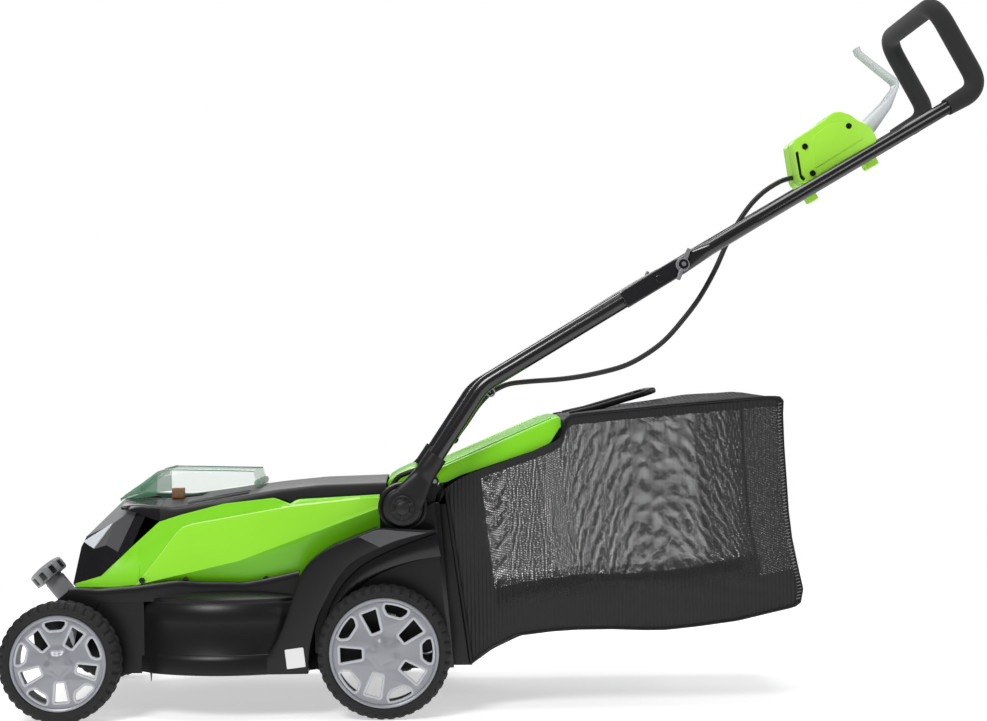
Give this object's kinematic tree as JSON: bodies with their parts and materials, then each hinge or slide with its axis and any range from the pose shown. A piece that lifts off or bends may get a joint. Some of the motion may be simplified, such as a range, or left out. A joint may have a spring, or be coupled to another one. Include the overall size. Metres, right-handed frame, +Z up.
{
  "type": "push lawn mower",
  "caption": "Battery rotary lawn mower with a lime hood, clear battery lid, folding tube handle, spoked wheels and a rear mesh grass bag.",
  "frame": {"origin": "on the ground, under the middle of the mower's overall box", "axes": "-X towards the mower's front, +X towards the handle, -Y towards the operator's left, +Z up"},
  "size_m": [1.3645, 0.4, 0.9818],
  "materials": {
    "black_plastic": "fine moulded texture",
    "charcoal_plastic": "moulded texture",
    "lime_plastic": "glossy moulded",
    "lid_clear": "clear green tint",
    "rim_plastic": "satin silver-grey",
    "tyre_rubber": "matt, lugged",
    "foam": "matt closed-cell foam",
    "tube_paint": "semi-gloss black powder coat",
    "steel_plated": "zinc plated",
    "blade_steel": "painted edge, ground tips",
    "cast_aluminium": "cast",
    "key_plastic": "copper brown",
    "lever_plastic": "light grey",
    "grey_plastic": "satin mid grey",
    "board_green": "circuit board",
    "mesh_fabric": "open polyester mesh",
    "cable_rubber": "smooth flexible jacket"
  },
  "bodies": {
    "chassis": {"deck_shell": "black_plastic", "blade_drum": "black_plastic", "fender_left": "black_plastic", "fender_right": "black_plastic", "nose_cover": "charcoal_plastic", "hood": "lime_plastic", "top_trim": "charcoal_plastic", "terminal_block": "black_plastic", "controller": "board_green", "motor_housing": "cast_aluminium", "pivot_boss_left": "black_plastic", "pivot_boss_right": "black_plastic", "lift_spring": "steel_plated", "door_hinge_pin": "steel_plated", "deck_screws": "black_plastic", "cable_lower": "cable_rubber"},
    "undercarriage": {"front_axle": "steel_plated", "rear_axle": "steel_plated", "link_rod": "steel_plated", "wheel_nuts": "steel_plated"},
    "wheel_front_left": {"rim_front_left": "rim_plastic", "tyre_front_left": "tyre_rubber"},
    "wheel_front_right": {"rim_front_right": "rim_plastic", "tyre_front_right": "tyre_rubber"},
    "wheel_rear_left": {"rim_rear_left": "rim_plastic", "tyre_rear_left": "tyre_rubber"},
    "wheel_rear_right": {"rim_rear_right": "rim_plastic", "tyre_rear_right": "tyre_rubber"},
    "height_lever": {"height_lever": "grey_plastic", "height_knob": "grey_plastic"},
    "blade_rotor": {"motor_shaft": "steel_plated", "blade_adapter": "black_plastic", "blade": "blade_steel", "blade_bolt": "steel_plated"},
    "lid": {"battery_lid": "lid_clear"},
    "battery": {"battery_pack": "charcoal_plastic"},
    "key": {"safety_key": "key_plastic"},
    "lower_handle": {"handle_arm_left": "black_plastic", "handle_arm_right": "black_plastic", "lower_tube_left": "tube_paint", "lower_tube_right": "tube_paint", "handle_bolts": "steel_plated", "cable_clips": "grey_plastic"},
    "pivot_knob_left": {"pivot_knob_left": "charcoal_plastic"},
    "pivot_knob_right": {"pivot_knob_right": "charcoal_plastic"},
    "upper_handle": {"upper_tube": "tube_paint", "foam_grip": "foam", "switch_box_outer": "lime_plastic", "switch_box_inner": "lime_plastic", "switch_module": "black_plastic", "box_screws": "black_plastic", "cable_upper": "cable_rubber"},
    "wing_nut_left": {"wing_nut_left": "grey_plastic"},
    "wing_nut_right": {"wing_nut_right": "grey_plastic"},
    "start_button": {"start_button": "black_plastic"},
    "bail": {"bail_lever": "lever_plastic"},
    "door": {"rear_door": "lime_plastic"},
    "bag": {"grass_bag": "mesh_fabric", "bag_frame": "black_plastic", "bag_handle": "black_plastic"}
  },
  "joints": [
    {"name": "cutting_height", "type": "slide", "parent": "chassis", "child": "undercarriage", "axis": [0.2419, 0, 0.9703], "range_m": [0, 0.041]},
    {"name": "height_lever_swing", "type": "hinge", "parent": "undercarriage", "child": "height_lever", "pos_m": [-0.60025, 0, 0.082], "axis": [0, -1, 0], "range_deg": [0, 35]},
    {"name": "wheel_front_left_spin", "type": "hinge", "parent": "undercarriage", "child": "wheel_front_left", "pos_m": [-0.60025, -0.18, 0.082], "axis": [0, 1, 0], "continuous": true},
    {"name": "wheel_front_right_spin", "type": "hinge", "parent": "undercarriage", "child": "wheel_front_right", "pos_m": [-0.60025, 0.18, 0.082], "axis": [0, 1, 0], "continuous": true},
    {"name": "wheel_rear_left_spin", "type": "hinge", "parent": "undercarriage", "child": "wheel_rear_left", "pos_m": [-0.16375, -0.18, 0.09], "axis": [0, 1, 0], "continuous": true},
    {"name": "wheel_rear_right_spin", "type": "hinge", "parent": "undercarriage", "child": "wheel_rear_right", "pos_m": [-0.16375, 0.18, 0.09], "axis": [0, 1, 0], "continuous": true},
    {"name": "blade_spin", "type": "hinge", "parent": "chassis", "child": "blade_rotor", "pos_m": [-0.37555, 0, 0.11], "axis": [0, 0, 1], "continuous": true},
    {"name": "lid_hinge", "type": "hinge", "parent": "chassis", "child": "lid", "pos_m": [-0.34355, 0, 0.313], "axis": [0, 1, 0], "range_deg": [0, 75]},
    {"name": "battery_lift", "type": "slide", "parent": "chassis", "child": "battery", "axis": [0, 0, 1], "range_m": [0, 0.031]},
    {"name": "key_pull", "type": "slide", "parent": "chassis", "child": "key", "axis": [0, 0, 1], "range_m": [0, 0.018]},
    {"name": "handle_fold", "type": "hinge", "parent": "chassis", "child": "lower_handle", "pos_m": [-0.13655, 0, 0.283], "axis": [0, -1, 0], "range_deg": [0, 128], "deforming": ["cable_lower"]},
    {"name": "pivot_knob_left_turn", "type": "hinge", "parent": "lower_handle", "child": "pivot_knob_left", "pos_m": [-0.13655, -0.19, 0.283], "axis": [0, 1, 0], "continuous": true},
    {"name": "pivot_knob_right_turn", "type": "hinge", "parent": "lower_handle", "child": "pivot_knob_right", "pos_m": [-0.13655, 0.19, 0.283], "axis": [0, 1, 0], "continuous": true},
    {"name": "upper_fold", "type": "hinge", "parent": "lower_handle", "child": "upper_handle", "pos_m": [0.24445, 0, 0.605], "axis": [0, 1, 0], "range_deg": [0, 164], "deforming": ["cable_upper"]},
    {"name": "wing_nut_left_turn", "type": "hinge", "parent": "lower_handle", "child": "wing_nut_left", "pos_m": [0.24445, -0.19, 0.605], "axis": [0, 1, 0], "continuous": true},
    {"name": "wing_nut_right_turn", "type": "hinge", "parent": "lower_handle", "child": "wing_nut_right", "pos_m": [0.24445, 0.19, 0.605], "axis": [0, 1, 0], "continuous": true},
    {"name": "start_button_press", "type": "slide", "parent": "upper_handle", "child": "start_button", "axis": [0, -1, 0], "range_m": [0, 0.004], "stiffness_N_per_m": 400},
    {"name": "bail_pull", "type": "hinge", "parent": "upper_handle", "child": "bail", "pos_m": [0.49445, -0.125, 0.774], "axis": [0, 1, 0], "range_deg": [0, 24], "stiffness_Nm_per_rad": 1.2, "springref_deg": -17.19},
    {"name": "rear_door_hinge", "type": "hinge", "parent": "chassis", "child": "door", "pos_m": [-0.09255, 0, 0.316], "axis": [0, -1, 0], "range_deg": [0, 60], "stiffness_Nm_per_rad": 0.3, "springref_deg": -34.38},
    {"name": "bag_lift_off", "type": "slide", "parent": "chassis", "child": "bag", "axis": [0.9563, 0, 0.2924], "range_m": [0, 0.3]}
  ],
  "couplings": [
    {"joint": "height_lever_swing", "follows": "cutting_height", "rad_per_m": 14.884},
    {"joint": "battery_lift", "follows": "lid_hinge", "m_per_rad": 0.0233},
    {"joint": "upper_fold", "follows": "handle_fold", "ratio": 1.28}
  ]
}
